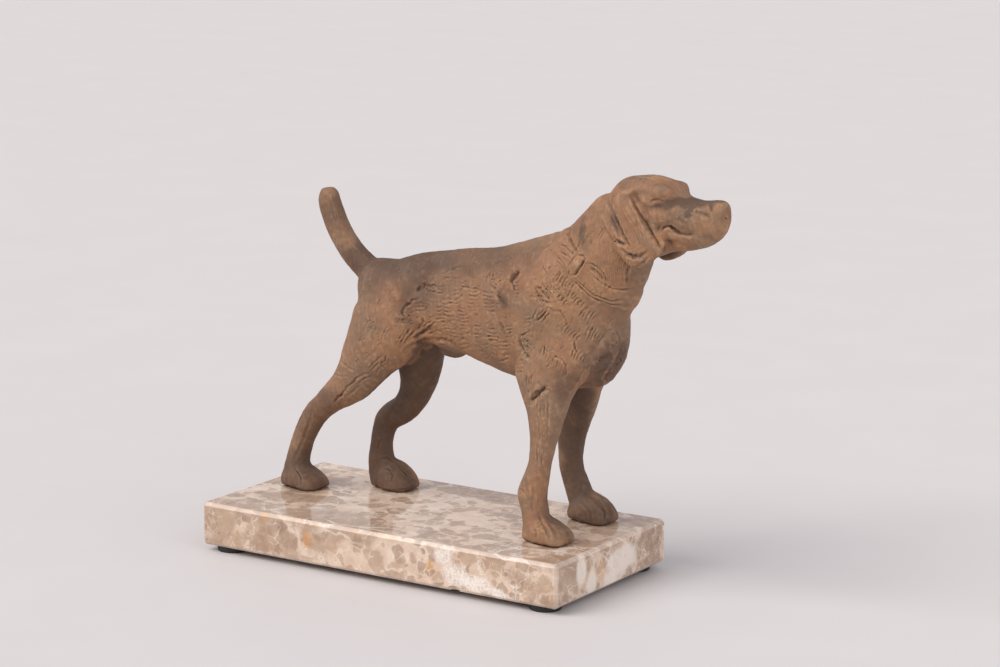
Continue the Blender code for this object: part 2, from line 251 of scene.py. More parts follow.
class Carving(Figure):
    """The figure while it is worked: every mark adds to how deep each point is pressed."""

    def __init__(self, mesh):
        super().__init__(mesh)
        self.depth = np.zeros(len(self.points))
        shake = np.stack([waves(self.points, 1.6, 5, 7) for _ in range(2)], axis=1)
        for tracing, _, _ in self.views.values():
            tracing += SHAKE * shake
        self.unsteady = UNEVEN_PRESS * waves(self.points, 3, 9, 6)

    def furrow(self, line, width, depth, far=False):
        """One mark: a polyline on the tracing, its half width and its depth in millimetres."""
        line = np.array(line, float)
        reach = FURROW_REACH * width
        for name, (tracing, near_mask, far_mask) in self.views.items():
            mask = far_mask if far else near_mask
            strength = 1.0 if name == "seen" else HIDDEN_STRENGTH
            low, high = line.min(axis=0) - reach, line.max(axis=0) + reach
            hit = np.flatnonzero(((tracing > low) & (tracing < high)).all(axis=1) & (mask > 0))
            if not len(hit):
                continue
            flat = tracing[hit]
            gap = np.full(len(hit), np.inf)
            place = np.zeros(len(hit))
            steps = np.linalg.norm(np.diff(line, axis=0), axis=1)
            run = np.concatenate(((0,), np.cumsum(steps))) / steps.sum()
            for i, (a, b) in enumerate(zip(line[:-1], line[1:])):
                step = b - a
                share = np.clip((flat - a) @ step / (step @ step), 0, 1)
                away = np.linalg.norm(flat - a - share[:, None] * step, axis=1)
                closer = away < gap
                gap = np.where(closer, away, gap)
                place = np.where(closer, run[i] + share * (run[i + 1] - run[i]), place)
            x = gap / width
            profile = np.exp(-(x**2)) - LIP_HEIGHT * np.exp(-(((x - LIP_PLACE) / LIP_WIDTH) ** 2))
            ends = np.clip(4 * np.minimum(place, 1 - place) + 0.3, 0, 1)
            press = np.clip(1 + self.unsteady[hit] * min(1.0, 0.45 / width), 0.4, 1.5)
            self.depth[hit] += depth * profile * ends * mask[hit] * press * strength

    def dent(self, centre, radii, depth, turn=0.0, views=("seen", "hidden")):
        """A thumb-sized hollow, or a swelling where the depth is negative."""
        c, s = heading(turn)
        for name in views:
            tracing, near_mask, _ = self.views[name]
            offset = tracing - np.array(centre)
            u = (offset[:, 0] * c + offset[:, 1] * s) / radii[0]
            v = (offset[:, 1] * c - offset[:, 0] * s) / radii[1]
            bowl = np.clip(1 - u**2 - v**2, 0, 1) ** 1.5
            self.depth += depth * bowl * near_mask

    def build_up(self, centre, radii, height):
        """Clay laid on around a point in space, on every side of it that faces out."""
        away = (self.points - np.array(centre)) / np.array(radii)
        self.depth -= height * np.clip(1 - (away**2).sum(axis=1), 0, 1) ** 1.5

    def finish(self, mesh):
        carved = self.points - self.normals * self.depth[:, None]
        write_points(mesh, dog_origin + (carved * MM) @ dog_axes)


carving = Carving(dog.data)

# %% [markdown]
# ## The head
# The ear is a long flap with a rolled front edge, a hollow behind it and a ragged shadow above
# its lobe. The mouth is one S-shaped cut. The eye is only hinted at, with a lid arc over a soft
# ball, under a heavy brow. Each is a furrow or a dent of its own, because no two are alike.

# %% Carve the ears, eyes, mouth and nose
def cut_lines(rows, far=False):
    """Furrows from rows of a line written as s,z pairs, its half width and its depth."""
    for line, width, depth in rows:
        carving.furrow([pair.split(",") for pair in line.split()], width, depth, far)


HEAD_MARKS = (
    # the deep fold between ear and cheek
    ("106.6,161.2 108.9,157 111.4,153 115,148.4", 2.0, 1.0),
    ("105.4,160.8 107.9,156.8 110.9,152.7 114.6,147.7 118.2,143.6", 0.8, 1.0),
    ("111.8,152.6 115.2,148.2 118.8,143.8 122.6,139.6", 1.6, 1.6),
    ("116,147 119.4,142.8 122.8,139", 0.7, 0.6),
    # the hollow behind the ear's rolled front edge, sharp on its front side
    ("93,157.4 95.8,152 98.8,147 102.3,141.6 104.9,138.6", 0.8, 1.25),
    ("95.4,149.4 97.4,145.6 100.6,141.4", 1.3, 0.6),
    ("96.2,149.4 97.6,146.6", 0.4, -0.2),
    ("98.2,147.2 99.8,144.6", 0.4, -0.2),
    # clay smeared over the seam between ear and neck
    ("82.4,153 80.9,147 80,141.8 78.6,136.7 77.8,134.4", 2.2, -0.75),
    # lines along the roll
    ("101,157 104.4,152.4 108.8,147.8 112.6,144", 0.4, 0.2),
    ("108.4,150.6 110.4,147.6", 0.4, 0.3),
    ("110,149.8 112,146.6", 0.4, 0.3),
    ("111.2,146.2 112.6,143.2", 0.4, 0.25),
    ("107,146.2 109.6,142 111.4,139", 0.4, 0.2),
    # the shadow above the lobe
    ("100.4,136.6 103.6,134.6 107,133.4 111,134.4 114.8,136.9", 0.85, 0.9),
    ("104.6,134.6 107.4,134.2 109.4,135.2", 0.5, 0.4),
    ("96.6,141 99,139.4 102,138.8 104.4,139", 0.8, 0.7),
    # the ear's rear edge, down to the throat
    ("89.6,149.4 92,144.8 95.4,140.4 99,136.4 102.3,131.8", 0.6, 0.3),
    ("102.8,130.2 105.5,128.7 108.9,129 113,131.8 116.9,136.4", 0.6, 0.4),
    # the line of the mouth
    ("122.4,147.4 123.6,148.8 125.2,149.7 127.2,149.6 129,148.7", 0.55, 0.8),
    ("127.6,149.3 129.6,148.1 132.4,147.2 136,147 139.7,147.7", 0.8, 1.1),
    # the lower lip and the jaw
    ("121,144.6 124.5,143.2 130,143 136.7,141.8 141,141", 0.8, 0.2),
    # the eye: a fold of the upper lid and a shade at both corners
    ("115.6,158.6 117.4,160.6 120.4,161.2 123.6,160.6", 0.6, 0.35),
    ("116.4,157.4 116.8,155.6", 0.7, 0.12),
    ("124.2,157.6 123.8,156", 0.7, 0.12),
    # the thin line across the skull
    ("103,168.4 107,169.6 112,170 118.9,169.3", 0.4, 0.5),
    # the wing of the nostril and the fold beside it
    ("139,159 141.6,157.6 144.4,156.8 147,157.4", 0.8, 0.5),
    ("141,161.4 144.6,161.6 147.6,161.4 148.6,159.4", 0.7, 0.4),
)
cut_lines(HEAD_MARKS)
HEAD_SWELLINGS = (
    # centre, radii, depth (less than nothing for a swelling), turn
    ((120.4, 157.4), (3.8, 2.6), -0.14, 15),
    ((120.4, 165), (7.5, 3), -0.35, 8),
    ((128, 160.6), (5, 3), 0.4, -20),
    ((113.5, 143.5), (3, 6.8), -0.4, 35),
    ((105, 152), (2.8, 9), -0.6, 35),
    ((97, 147.8), (3, 8), 1.0, 35),
    ((92.2, 146.6), (2.2, 7.5), -0.5, 35),
    ((81, 143.5), (4.4, 10), -0.9, -12),
    ((99.3, 139.4), (3, 1.5), 0.5, -10),
    ((106.6, 134.4), (5, 1.8), 0.4, 8),
    ((136, 153.5), (8, 5), -0.4, 0),
    ((127, 145.4), (6, 2.4), -0.3, -8),
    ((129, 141.4), (9, 2.4), -0.3, -6),
)
for row in HEAD_SWELLINGS:
    carving.dent(*row)
WHISKER_DOTS = (
    (130.6, 154.2), (133.2, 156.1), (135.6, 158.2), (134.9, 155.2),
    (139.8, 158.6), (138.2, 156.8), (135.8, 153.4),
)
for dot in WHISKER_DOTS:
    carving.dent(dot, (0.9, 0.9), -0.55)
carving.dent((156.6, 156.6), (0.7, 0.8), 0.8, views=("seen",))
carving.build_up((92.5, 0, 157.5), (9, 14, 9), 1.1)
carving.build_up((160, 0, 165.2), (4.4, 9, 4), 3.2)
carving.build_up((159.5, 0, 150.5), (4, 8, 4), 0.5)
print("head: pressed", round(carving.depth.max(), 2), "mm deep")

# %% [markdown]
# ## The neck and the collar
# Long strokes of a comb run down the neck. The collar is a strap laid round it, with a double
# cut line along its lower edge, a rounded keeper and a leaf-shaped loose end. It could be a band
# of its own, but on the real piece it is one clay with the neck, so it is cut into the dog.

# %% Carve the neck strokes and the collar
def stroke(centre, angle, length, width, depth, bend=0.0):
    """A short mark of the tool, bowed by bend, at an angle in degrees to the dog's length."""
    run = heading(angle)
    bow = np.array((-run[1], run[0])) * bend
    middle = np.array(centre, float)
    line = [middle - run * length / 2, middle + bow, middle + run * length / 2]
    carving.furrow(line, width, depth)


def scatter(count, low, high, lean, spread, lengths, width, depth, sway=0.0):
    """Stray marks between two corners of a field, each with a lean, length and bow of its own."""
    for _ in range(count):
        place = (chance.uniform(low[0], high[0]), chance.uniform(low[1], high[1]))
        angle, length = chance.normal(lean, spread), chance.uniform(*lengths)
        stroke(place, angle, length, width, depth, chance.normal(0, sway) if sway else 0.0)


COLLAR_LINES = (
    # the upper edge, from the nape down behind the keeper, and beyond the loose end
    ("72.6,147 71.9,144 71.1,139.8 73.2,135.8 76.3,132.3", 0.75, 0.8),
    ("91.5,119.6 94.2,118.2 97.4,117.6 102,117.8 106.5,118.8", 0.45, 0.45),
    # the two cuts along the lower edge
    ("73.7,120.6 76.6,118.9 80.5,116.3 85.7,113.4 90.2,112.7 95.4,111.9 102.6,113.4", 0.4, 0.5),
    ("74,119 77.9,116.4 83.1,113 89,111 95.4,110.2 102.6,110.9", 0.45, 0.55),
    # folds of the strap that run to the keeper
    ("65.6,135.2 68.8,134.6 71.6,133 74,131.1", 0.5, 0.45),
    ("66.2,131.6 70,130.4 73.3,128.7", 0.4, 0.4),
    ("65.2,129.2 67.4,126.8 70.1,124.6", 0.4, 0.35),
    ("65.6,126.6 67.6,124.8 69.6,123.8", 0.35, 0.25),
    # outline of the keeper
    ("71,124.8 72.6,127.4 74.2,129.6 76.6,131.3 79.6,131 80.9,129.6", 0.45, 0.5),
    ("80.7,129.6 79.4,127.4 77.3,124.6 75.3,121.9 73.4,120.8", 0.55, 0.85),
    ("72,123.4 71.4,122 72.6,120.8", 0.4, 0.35),
    # the leaf-shaped loose end and its shadow
    ("82,127.6 84.6,127.8 87,126.9 89.6,125.2 91.5,123.5 92.7,121", 0.5, 0.6),
    ("83.4,126 87,124.6 90.2,122.4 92.2,120.6", 0.9, 0.65),
    ("80.4,125.4 84.4,123.2 88.8,120.2 93,118.6", 0.4, 0.3),
)
cut_lines(COLLAR_LINES)
carving.dent((76, 126.2), (2.5, 5.4), -0.6, turn=-41)
carving.dent((76, 126.2), (1.2, 3.8), 0.2, turn=-41)
for s in np.arange(75.5, 92, 1.1):
    place = (s + chance.normal(0, 0.25), 139.5 + (s - 83) * 0.55 + chance.normal(0, 1.5))
    stroke(place, 54 + chance.normal(0, 4), chance.uniform(5, 9), 0.3, 0.17)
for s in np.arange(88, 106, 1.1):
    place = (s, 126.5 + chance.normal(0, 1.2))
    stroke(place, 89 + chance.normal(0, 4), chance.uniform(8, 13), 0.32, 0.2, bend=0.4)
for s in np.arange(88.5, 104, 1.3):
    stroke((s, 136.5 - (s - 89) * 0.45), 80 + chance.normal(0, 6), chance.uniform(3.5, 6), 0.3, 0.17)
carving.furrow([(104.9, 128.5), (103.9, 125.3), (104.2, 121.4)], 0.7, 0.6)
print("collar:", len(COLLAR_LINES), "lines")

# %% [markdown]
# ## The coat
# Short hair is shown by groups of quick dashes. Over the ribs they stand in columns, nearly
# level and slightly bowed. On the shoulder and the chest they lean like a row of slashes. One
# helper lays a group of them with a maker's unevenness, and a table says where the groups are.
# A furrow fades at its ends, so a dash is cut a little longer than it looks.

# %% Carve the groups of dashes
RIB_WIDTH, SLASH_WIDTH, HAIR_WIDTH, FINE_WIDTH = 0.46, 0.44, 0.42, 0.4
SLASH_PITCH = 1.7


def dashes(centre, angle, count, pitch, length, width, depth, march, bend):
    """A group of like marks, set side by side in the direction given by march."""
    step = heading(march) * pitch
    for i in range(count):
        middle = np.array(centre) + step * (i - (count - 1) / 2) + chance.normal(0, 0.12 * pitch, 2)
        lean, size, press = chance.normal(0, 5), chance.uniform(0.75, 1.2), chance.uniform(0.7, 1.25)
        stroke(middle, angle + lean, length * size, width, depth * press, bend)


RIB_GROUPS = (
    # centre, lean, how many, pitch, length, depth
    ((1.9, 97.2), 6, 5, 2.0, 5.2, 0.5),
    ((-3.5, 96.2), 8, 4, 2.0, 3.2, 0.42),
    ((8.1, 103.7), 26, 4, 1.9, 4.8, 0.42),
    ((16.7, 105.7), 4, 4, 2.0, 5, 0.42),
    ((15.8, 100.1), 8, 2, 2.0, 4, 0.36),
    ((26.1, 103.3), 3, 6, 1.7, 5.6, 0.5),
    ((9.6, 96.4), 8, 3, 1.8, 4, 0.36),
    ((19.8, 87.7), 10, 4, 2.0, 4, 0.45),
    ((28.3, 87.6), 4, 4, 1.7, 5, 0.5),
    ((34.8, 81), 10, 5, 2.1, 6.4, 0.5),
    ((42.2, 110), 12, 6, 1.6, 2.2, 0.42),
    ((24, 79.6), 22, 4, 1.5, 4, 0.3),
    ((-7.7, 88), 34, 5, 1.9, 3.6, 0.45),
    ((-2.9, 88.6), 14, 4, 1.8, 4, 0.36),
    ((37.9, 90.5), 16, 4, 1.7, 4, 0.36),
    ((27.4, 115.2), 50, 4, 1.7, 4, 0.3),
    ((11, 109.6), 10, 2, 2.0, 4, 0.3),
    ((-2, 106), 8, 2, 2.0, 4, 0.3),
    ((47.6, 97.6), 12, 3, 1.8, 4.4, 0.36),
    ((44, 74), 12, 3, 1.7, 3.6, 0.36),
)
for centre, lean, count, pitch, length, depth in RIB_GROUPS:
    longer, softer = 1.2 * length, 0.72 * depth
    dashes(centre, lean, count, pitch, longer, RIB_WIDTH, softer, march=94, bend=-0.35)
for z in np.arange(79, 94, 1.55):
    for s in (-1, 5.2, 11.4):
        place = (s + chance.normal(0, 1), z + chance.normal(0, 0.3))
        lean, length, bow = chance.normal(0, 6), chance.uniform(4, 8), chance.normal(0, 0.5)
        stroke(place, 4 + lean, length, HAIR_WIDTH, 0.26, bend=bow)
scatter(80, (-14, 76), (42, 110), 8, 16, (1.6, 5), HAIR_WIDTH, 0.2, sway=0.4)
scatter(70, (-24, 104), (60, 132), 20, 22, (2.4, 6), HAIR_WIDTH, 0.16, sway=0.7)
SLASHES = (
    # centre, lean, how many, length
    ((56.2, 100.4), 46, 4, 7.4),
    ((83, 103.4), 52, 5, 6),
    ((86.6, 94.6), 57, 6, 5.8),
    ((73.4, 94.4), 50, 6, 4.2),
    ((78.2, 84.2), 58, 5, 5.2),
    ((66.8, 118.6), 55, 4, 5),
    ((72.6, 116.6), 52, 3, 3.4),
    ((76, 110.5), 48, 6, 3.4),
    ((69, 108.6), 40, 4, 3),
    ((63.6, 79), 58, 4, 4),
    ((68.4, 77.6), 66, 4, 5),
    ((58.2, 83.8), 74, 3, 5),
    ((49.8, 68.6), 84, 3, 4.6),
    ((-46, 80.4), 58, 4, 3.4),
    ((-40, 79.4), 62, 4, 4.4),
    ((-34, 81), 55, 3, 4.4),
    ((-45.4, 84), 30, 2, 3.6),
    ((-32.4, 100.4), 52, 1, 3.4),
    ((-39.8, 93.6), 55, 2, 3.6),
    ((-51, 74.5), 60, 2, 3),
    ((-52, 96), 70, 2, 3),
    ((-29, 112), 30, 4, 3.4),
    ((-58, 121), 128, 3, 5),
    ((-66, 134), 110, 3, 5),
)
for centre, lean, count, length in SLASHES:
    depth = 0.2 if centre[0] < -25 else 0.36
    longer, march = 1.15 * length, lean - 78
    dashes(centre, lean, count, SLASH_PITCH, longer, SLASH_WIDTH, depth, march, bend=0.4)
LEG_STROKES = (
    (55, 59), (57, 56.4), (59, 58.6), (61, 55.6), (53.6, 47),
    (56, 46), (58.4, 44), (61, 45), (55, 34), (58, 32),
)
for place in LEG_STROKES:
    stroke(place, 88 + chance.normal(0, 4), chance.uniform(6, 11), HAIR_WIDTH, 0.2, bend=0.3)
scatter(40, (51, 22), (62, 66), 87, 8, (2.4, 6), FINE_WIDTH, 0.12)
scatter(90, (48, 76), (96, 124), 55, 18, (1.6, 4), FINE_WIDTH, 0.2, sway=0.4)
scatter(60, (-58, 62), (-26, 112), 58, 24, (1.6, 3.6), FINE_WIDTH, 0.15, sway=0.4)
print("coat:", len(RIB_GROUPS), "groups on the ribs,", len(SLASHES), "groups of slashes")

# %% [markdown]
# ## Muscles and gouges
# Longer marks outline the muscles: the hollow behind the hip, the fold of the flank, the oval of
# the upper arm, the tendons of the hind leg. Some are cut deep enough to hold a black shadow. The
# muscles themselves are in the solid, so a millimetre up or down is all that is left to carve.

# %% Carve the long lines
BODY_MARKS = (
    # the hollow of the hip: a ragged crescent, a second one below it and the streaks inside
    ("-4.1,105.4 -6.4,107 -9.6,106.2 -12.6,106.2 -14.4,104 -16.9,103.4 -16.8,101.2", 0.65, 0.6),
    ("-14.6,105.6 -16.4,104 -17,102.2", 0.6, 0.55),
    ("-8.4,104.6 -10.6,103.2 -11.4,101.4", 0.5, 0.3),
    ("-15.6,100.2 -17.4,98.6 -20.2,98 -21.4,96 -23.6,95.4", 0.65, 0.6),
    ("-22,96.2 -24.4,94 -25.6,91.1 -24.9,89.6", 0.75, 0.6),
    ("-24.9,89.6 -22.8,89.3 -19.8,90.2", 0.5, 0.3),
    ("-18.6,96.5 -15,97.4 -10.7,96.8", 0.5, 0.22),
    ("-20.4,93.6 -15.6,95.6 -10.1,95.7", 0.5, 0.26),
    ("-22.8,90.9 -18,93 -11.9,93.7 -8.3,93.6", 0.5, 0.26),
    ("-14.2,89.6 -13,88.6", 0.9, 0.7),
    # strokes of the loop where the flank meets the thigh
    ("-26.8,76 -24.6,79.7 -22.2,82.3 -21.2,83.7", 0.55, 0.65),
    ("-24.6,76 -22.2,79.3 -18.5,82.6", 0.5, 0.45),
    ("-27.7,77.6 -25.8,80.2 -24,82.4", 0.5, 0.4),
    ("-20.4,81 -17.9,83.7 -14.9,85.8", 0.5, 0.4),
    ("-17.9,79.8 -14.9,81.9 -11.3,84.6 -7.8,86.7", 0.8, 0.75),
    ("-19.7,80.8 -15.5,83.5 -11.9,86.2 -8.3,87.9", 0.6, -0.3),
    ("-15.8,85.7 -11.9,88.9", 0.45, 0.4),
    ("-13.1,85.6 -8.9,89.3", 0.45, 0.4),
    ("-10.7,85.6 -6.5,89", 0.45, 0.35),
    # the fold of the flank: a light ridge over a long dark crease
    ("-24,75.4 -19.1,78.1 -14.3,80.4 -8.8,82.5", 1.1, -0.35),
    ("-24.6,72.6 -21.6,75 -17.9,77.3 -13.1,79.4 -7,80.7 -1,81.2 5.6,80.3", 0.9, 0.6),
    ("-7,79.3 -2.2,81.2 3.2,80.4 7.4,78.3 10.4,76.1", 0.7, 0.5),
    # long curves along the back
    ("-11.5,119.7 -2.5,123.5 6.5,125 12.5,125.2", 0.5, 0.25),
    ("-1.8,112.8 1.7,114.9 7.1,117.2 13,118.2", 0.5, 0.28),
    ("-1.8,111.4 3.6,111.6 8.9,112.4", 0.5, 0.25),
    ("23.7,111.6 24.8,114.6 26.5,116.7", 0.5, 0.35),
    ("24,117 27,120 33,123", 0.5, 0.22),
    ("56,131.4 61,134 64,137.5", 0.5, 0.3),
    ("13.8,91.2 15.6,88.6 16.3,84.8", 0.9, 0.3),
    # gouges over the ribs and the shoulder blade
    ("43,120 41.4,117.6 39.6,115.6 38.2,113.4", 1.1, 0.95),
    ("38.2,114.3 40,112.8 41.1,110.4", 0.6, 0.5),
    ("26.6,110.9 28.2,110.6 30,109.4", 0.6, 0.65),
    ("31.4,107.6 32,106 33.4,104.2 35.2,102.8", 0.75, 0.6),
    ("31.7,94 33.5,92.8 34.7,90.5 35.6,88.8", 0.8, 0.5),
    ("53.2,113.3 53.8,110 55.6,107.9 59.6,106.5 64.7,107.1", 0.8, 0.5),
    ("54.3,114.3 57.2,110.4 61.8,108.2", 0.5, 0.35),
    ("57.1,123.1 59.4,120.1", 0.5, 0.4),
    ("52.9,97.2 55.7,98.9 59.1,102.7", 0.5, 0.5),
    ("59.7,105.2 63,103.4 67.4,103.4 70,100 71.5,95.6", 0.6, 0.35),
    # the hollow behind the elbow
    ("43.8,87.4 44.6,83.6 46.2,81.4 50.4,78.8", 0.95, 0.65),
    ("43.6,88.6 46.6,90.2 50.6,92.4", 0.45, 0.35),
    ("44.4,82 47,84.4 50,83.4", 0.45, 0.35),
    # outline of the upper arm
    ("75.2,90.4 75.6,88 76.7,85.4", 0.6, 0.7),
    ("62.4,80.6 65.4,82 68.6,81.2 71.2,78 71,75 68.6,73", 0.5, 0.42),
    ("62.2,77.4 64,80.2", 0.5, 0.55),
    ("57.8,81.8 58.6,85.8", 0.5, 0.5),
    # the deep gouge at the elbow
    ("50.6,58.4 54.6,62.5 59.2,66.7", 1.25, 1.15),
    ("51.4,59.4 54.6,62.5 58.6,66.2", 0.6, 0.9),
    ("58.6,64.8 61.4,66 62.6,63.6", 0.45, 0.35),
    # folds of the breast
    ("71.9,69.3 77.1,77 83.3,84 88.1,90.9 92.9,97", 1.6, 0.5),
    ("92.6,75.6 98.9,83.4 101.6,89.2", 1.0, 0.85),
    ("90.1,73.9 95.6,77 100.6,81.8", 0.7, 0.4),
    ("101.4,86.4 102.2,83 101.6,79.6", 0.6, 0.6),
    ("98.6,99 100.4,95 99.6,90.4", 0.6, 0.3),
    ("88,82 92,84.6 95.6,86.8", 1.1, 0.5),
    ("86,76 90,78 94.6,80.8", 0.8, 0.3),
    # tendons and veins of the near hind leg
    ("-46.8,60.7 -43.7,63.8 -40.6,66.7 -37.5,69.5", 0.5, 0.34),
    ("-35.5,69 -36.3,66.6 -39.3,63.7", 0.5, 0.3),
    ("-41.8,71.2 -45.4,68 -49.8,64.4", 0.5, 0.22),
    ("-45.6,59.9 -42.5,62.8 -40,65.1", 0.45, 0.35),
    ("-35.9,64.7 -40,62.1 -42.4,58.8", 0.5, 0.32),
    ("-58.1,51.7 -54.3,55.2 -49.9,57.8 -46.2,58.6", 0.5, 0.4),
    ("-53.7,52.3 -48.7,56 -44.3,57.6", 0.5, 0.4),
    ("-64.4,44.6 -59.9,50 -53.9,54.4", 0.55, 0.5),
    ("-61,44.6 -57.6,47.3 -51.6,52.3", 0.5, 0.4),
    ("-68,41.2 -65.8,43.8 -62.8,46.2", 0.7, 0.75),
    ("-63.5,62.5 -59,59.8 -54.6,58.9", 0.55, 0.3),
    ("-69.5,55.8 -64,54.8 -59,55.8", 0.55, 0.25),
    ("-54.4,66.2 -53.6,64.6 -54,62.6", 0.45, 0.3),
    ("-82.3,35.5 -83.8,29.5 -86.8,22 -90.5,14.5 -94.3,7.8", 0.9, 0.4),
    ("-94.3,4.8 -91.3,1.8 -89.4,-0.5 -89.8,-3.5", 0.5, 0.5),
    # the front leg: the flat of the bone and the cords beside it
    ("52.6,20 53,14 52.4,9 53,4.6", 0.8, 0.3),
    ("60.6,66 60.8,56 60.4,46", 0.5, 0.2),
    ("52.1,45 52.2,37", 0.5, 0.2),
    ("44.6,16 48,14.6 50,11.8", 0.5, 0.25),
    ("56,5 58.4,1.6 61.2,-1.4 62.4,-5.4", 0.9, 0.42),
    ("61.8,2 65,-0.6 67,-4.4", 0.9, 0.3),
    ("53,-1 54.6,-3.4 54.4,-6.4", 0.8, 0.25),
)
cut_lines(BODY_MARKS)
HOLLOWS = (
    # centre, radii, depth, turn
    ((-11.4, 103.4), (7, 5), 0.45, 20),
    ((-16.8, 93.8), (9.4, 6), 0.6, 20),
    ((-24.6, 87.4), (6, 2), 0.4, 5),
    ((-22, 78.4), (9, 3), 0.4, 38),
    ((32.6, 105.4), (3, 4.6), 0.4, 20),
    ((40.6, 117), (3, 4.6), 0.5, -38),
    ((47, 84.6), (4.6, 7), 0.7, 10),
    ((64, 92), (8, 10), -0.6, 0),
    ((66, 78), (7, 6), -0.5, 20),
    ((56.8, 110), (6, 5), 0.4, 0),
    ((27, 98), (7, 12), -0.35, 0),
    ((8, 96), (7, 12), -0.3, 0),
)
for row in HOLLOWS:
    carving.dent(*row)
FAR_LEG_MARKS = (
    # the paws on the far side, seen between the near legs
    ("80.6,20.4 84.6,18.6 89.4,16.4 93,13.2 94.6,9", 0.8, 0.42),
    ("79.2,15.6 83,13.6 85.6,10.8 86,7", 0.8, 0.3),
    ("91,19.4 95.4,16.6 98.4,12.4", 0.8, 0.28),
    ("84.6,19.4 90.6,17 94.4,12.6 93.6,8.6", 0.5, 0.42),
    ("76,6.8 84,5.2 92,5 98,7", 0.5, 0.42),
    ("-38.4,17.4 -34.3,18.3 -29,16 -23.8,12.3 -19.3,10", 0.5, 0.55),
    ("-36.5,13 -32.8,12.3 -31.3,9.5 -32.8,7", 0.45, 0.4),
    ("-30.6,17.8 -25,14.8 -20.6,12", 0.4, 0.25),
    ("-41,22 -38.8,27.3", 0.5, 0.4),
    ("-41.8,1.4 -32,2.2 -23,4.4 -18.5,6.7", 0.6, 0.4),
    # long hollows of the far legs
    ("-26,52 -31,44 -36,36", 1.2, 0.3),
    ("-2,70 -8,60 -17,50", 1.3, 0.3),
    ("79,60 77.6,46 77.4,32", 1.3, 0.3),
    ("79.6,26 80.6,22 79.4,18.6", 0.9, 0.2),
)
cut_lines(FAR_LEG_MARKS, far=True)
print("muscles:", len(BODY_MARKS), "marks on the near side,", len(FAR_LEG_MARKS), "on the far legs")

# %% [markdown]
# ## Pitting and handling
# Between the marks the clay is dabbed and pitted in patches, and no plane of it is true. Pits
# are tiny dents scattered in a few fields. The uneven plane is a sum of slow waves, which keeps
# the silhouette alive on the hidden side as well.

# %% Pit the clay and press it out of true
PITTED = (
    # centre, half width, half height, pits
    ((57.6, 110.6), 6, 5, 60),
    ((47.4, 84), 5, 8, 70),
    ((30.6, 114), 5, 3.4, 18),
    ((33, 105), 2.4, 4, 8),
    ((33, 87), 6, 6, 20),
    ((68, 113), 9, 6, 50),
    ((-12, 104.6), 4, 2, 26),
    ((-25, 87.4), 5, 2, 26),
    ((97.6, 139.4), 2, 1, 10),
    ((99, 140), 2.4, 1.6, 12),
    ((108, 133.6), 4, 1.2, 14),
    ((-20, 89), 6, 4, 14),
    ((56, 62), 6, 6, 18),
    ((56, -1), 4, 3, 14),
    ((96, 98), 4, 8, 14),
)
for (s, z), wide, tall, count in PITTED:
    for _ in range(count):
        place = (s + chance.normal(0, wide / 2), z + chance.normal(0, tall / 2))
        size = chance.uniform(0.45, 0.9)
        shape = (size, size * chance.uniform(0.5, 1.0))
        carving.dent(place, shape, chance.uniform(0.15, 0.42), turn=chance.uniform(0, 180))
carving.depth += 0.1 * waves(carving.points, 8, 24, 9)
carving.depth += 0.045 * waves(carving.points, 2.0, 5, 14)
carving.depth *= np.clip(carving.points[:, 2] / 2.5, 0, 1)
carving.finish(dog.data)
print("carved to", round(carving.depth.max(), 2), "mm deep")

# %% [markdown]
# ## A lighter mesh
# The blank is finer than the marks need in its plain areas, so the Decimate modifier takes out
# points where the surface is nearly flat and leaves them in the furrows.

# %% Thin out the mesh
DOG_TRIANGLES = 194_000
dog_faces = sum(len(p.vertices) - 2 for p in dog.data.polygons)
apply_modifier(dog, "DECIMATE", ratio=DOG_TRIANGLES / dog_faces, use_collapse_triangulate=True)
select_only(dog)
bpy.ops.object.shade_smooth()
print("dog:", len(dog.data.polygons), "triangles")

# %% [markdown]
# ## Where stain gathers, and painted shade
# The brown stain was brushed on and wiped off, so it stays in the furrows and wears off the
# ridges. The furrows and the hollows between muscles are also darkened with painted shade, as
# they would lie in shadow. How deep each point lies is measured against smoothed copies of the
# dog: a little smoothing finds the furrows, a lot finds the hollows between muscles. Both are
# stored on the points as attributes that the finish reads. A pointiness node would need no
# attribute, but it works in one renderer only.

# %% Measure furrows and hollows
def store(mesh, name, values, domain="POINT"):
    """Keeps a value from -1 to 1 for each point or face, where a material can read it."""
    layer = mesh.attributes.new(name, "FLOAT", domain)
    layer.data.foreach_set("value", np.clip(values, -1, 1).astype(np.float32))
    print(name, "from", round(float(min(values)), 2), "to", round(float(max(values)), 2))


def hollow_against(thing, rounds, name, full):
    """How far each point lies under the smoothed surface, as a share of full, from -1 to 1."""
    actual = read_points(thing.data)
    normals = read_normals(thing.data)
    softener = thing.modifiers.new("soft", "SMOOTH")
    softener.factor = 0.5
    softener.iterations = rounds
    shape = thing.evaluated_get(bpy.context.evaluated_depsgraph_get())
    soft = read_points(shape.data)
    thing.modifiers.remove(softener)
    under = ((soft - actual) * normals).sum(axis=1) / full
    store(thing.data, name, under)


A_LITTLE, A_LOT = 8, 90
# furrow and hollow: where the stain gathers, and where shade is painted into the colour
hollow_against(dog, A_LITTLE, "furrow", 0.28 * MM)
hollow_against(dog, A_LOT, "hollow", 1.1 * MM)
